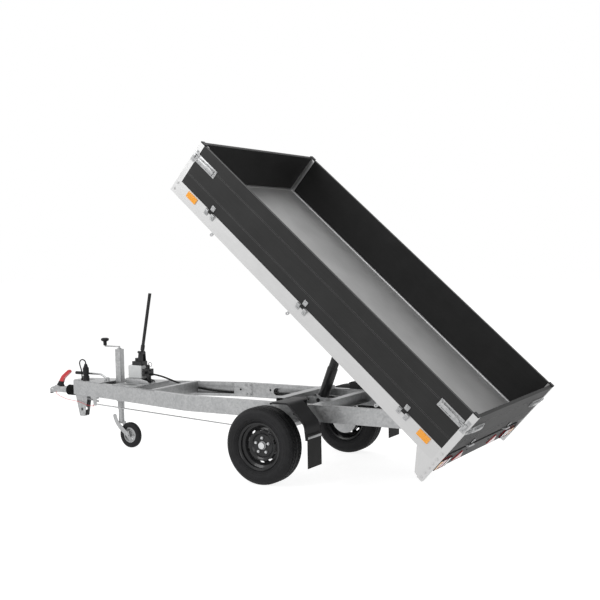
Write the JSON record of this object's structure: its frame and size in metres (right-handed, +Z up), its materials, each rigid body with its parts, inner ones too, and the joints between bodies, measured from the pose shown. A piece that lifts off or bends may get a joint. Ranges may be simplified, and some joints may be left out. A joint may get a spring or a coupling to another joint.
{
  "type": "dump trailer",
  "caption": "Single-axle dump trailer with a V drawbar, hinged drop sides and a bed tipped to the rear by a hand-pumped telescopic ram.",
  "frame": {"origin": "on the ground under the middle of the trailer's bounding box as it stands with the bed tipped", "axes": "+Z up, -X forwards towards the coupling, -Y to the trailer's left side"},
  "size_m": [4.493, 1.628, 2.5024],
  "materials": {
    "galvanised": "satin",
    "red_plastic": "gloss",
    "black_rubber": "matte",
    "black_plastic": "satin",
    "tank_plastic": "satin",
    "black_steel": "satin",
    "red_sheath": "gloss",
    "tyre_rubber": "matte",
    "hub_steel": "satin",
    "floor_sheet": "satin",
    "silver_profile": "satin",
    "black_board": "satin",
    "amber_lens": "gloss",
    "red_lens": "gloss"
  },
  "bodies": {
    "chassis": {"rail_left": "galvanised", "rail_right": "galvanised", "crossbars": "galvanised", "crossbeams": "galvanised", "hinge_beam": "galvanised", "overrun_housing": "galvanised", "coupling_head": "galvanised", "coupling_handle": "red_plastic", "bellows": "black_rubber", "front_stand": "galvanised", "handbrake": "galvanised", "hand_grips": "black_plastic", "brake_rod": "galvanised", "jockey_tube": "galvanised", "jockey_crank": "galvanised", "pump_tank": "tank_plastic", "pump_body": "black_steel", "hose": "black_rubber", "axle": "galvanised", "mudguards": "black_plastic", "mud_flaps": "black_rubber", "ram_cradle": "galvanised", "plug_holder": "black_plastic", "plug": "black_plastic", "plug_lead": "black_rubber", "breakaway_cable": "red_sheath"},
    "wheel_left": {"tyre_left": "tyre_rubber", "rim_left": "black_steel", "hub_left": "hub_steel"},
    "wheel_right": {"tyre_right": "tyre_rubber", "rim_right": "black_steel", "hub_right": "hub_steel"},
    "jockey_slide": {"jockey_leg": "galvanised"},
    "jockey_swivel": {"jockey_fork": "galvanised"},
    "jockey_wheel": {"jockey_tyre": "tyre_rubber", "jockey_rim": "galvanised"},
    "pump_handle": {"pump_lever": "black_steel"},
    "ram": {"ram_barrel": "black_steel"},
    "stage_1": {"ram_stage_1": "black_steel"},
    "stage_2": {"ram_stage_2": "black_steel"},
    "stage_3": {"ram_stage_3": "black_steel"},
    "bed": {"bed_floor": "floor_sheet", "bed_underframe": "galvanised", "bed_crossmembers": "galvanised", "bed_rails": "silver_profile", "corner_posts": "silver_profile", "post_caps": "black_plastic", "front_board": "black_board", "bed_fittings": "galvanised", "marker_lamps": "amber_lens", "lamp_board": "black_plastic", "rear_lamps": "red_lens"},
    "drop_side_left": {"side_board_left": "black_board", "latches_left": "galvanised"},
    "drop_side_right": {"side_board_right": "black_board", "latches_right": "galvanised"},
    "tailgate": {"tailgate": "black_board", "tailgate_latches": "galvanised"}
  },
  "joints": [
    {"name": "wheel_left_spin", "type": "hinge", "parent": "chassis", "child": "wheel_left", "pos_m": [0.548, -0.652, 0.287], "axis": [0, -1, 0], "continuous": true},
    {"name": "wheel_right_spin", "type": "hinge", "parent": "chassis", "child": "wheel_right", "pos_m": [0.548, 0.652, 0.287], "axis": [0, -1, 0], "continuous": true},
    {"name": "jockey_height", "type": "slide", "parent": "chassis", "child": "jockey_slide", "axis": [0, 0, 1], "range_m": [0, 0.11]},
    {"name": "jockey_swivel", "type": "hinge", "parent": "jockey_slide", "child": "jockey_swivel", "pos_m": [-1.366, -0.02, 0.22], "axis": [0, 0, 1], "continuous": true},
    {"name": "jockey_wheel_spin", "type": "hinge", "parent": "jockey_swivel", "child": "jockey_wheel", "pos_m": [-1.265, -0.02, 0.112], "axis": [0, -1, 0], "continuous": true},
    {"name": "pump_lever_swing", "type": "hinge", "parent": "chassis", "child": "pump_handle", "pos_m": [-1.129, 0, 0.836], "axis": [0, 1, 0], "range_deg": [-45, 30]},
    {"name": "bed_tilt", "type": "hinge", "parent": "chassis", "child": "bed", "pos_m": [1.704, 0, 0.564], "axis": [0, 1, 0], "range_deg": [-41.5, 0]},
    {"name": "ram_swing", "type": "hinge", "parent": "chassis", "child": "ram", "pos_m": [0.67, 0, 0.545], "axis": [0, 1, 0], "range_deg": [-20, 0]},
    {"name": "ram_stage_1_slide", "type": "slide", "parent": "ram", "child": "stage_1", "axis": [0.3692, 0, 0.9294], "range_m": [-0.242, 0]},
    {"name": "ram_stage_2_slide", "type": "slide", "parent": "stage_1", "child": "stage_2", "axis": [0.3692, 0, 0.9294], "range_m": [-0.242, 0]},
    {"name": "ram_stage_3_slide", "type": "slide", "parent": "stage_2", "child": "stage_3", "axis": [0.3692, 0, 0.9294], "range_m": [-0.242, 0]},
    {"name": "drop_side_left_fold", "type": "hinge", "parent": "bed", "child": "drop_side_left", "pos_m": [1.38386, -0.806, 0.95672], "axis": [0.749, 0, -0.6626], "range_deg": [0, 170]},
    {"name": "drop_side_right_fold", "type": "hinge", "parent": "bed", "child": "drop_side_right", "pos_m": [1.38386, 0.806, 0.95672], "axis": [0.749, 0, -0.6626], "range_deg": [-170, 0]},
    {"name": "tailgate_fold", "type": "hinge", "parent": "bed", "child": "tailgate", "pos_m": [2.03957, 0, 0.35924], "axis": [0, 1, 0], "range_deg": [0, 170]}
  ],
  "couplings": [
    {"joint": "ram_swing", "follows": "bed_tilt", "ratio": 0.47},
    {"joint": "ram_stage_1_slide", "follows": "bed_tilt", "m_per_rad": 0.33239},
    {"joint": "ram_stage_2_slide", "follows": "bed_tilt", "m_per_rad": 0.33239},
    {"joint": "ram_stage_3_slide", "follows": "bed_tilt", "m_per_rad": 0.33239}
  ]
}
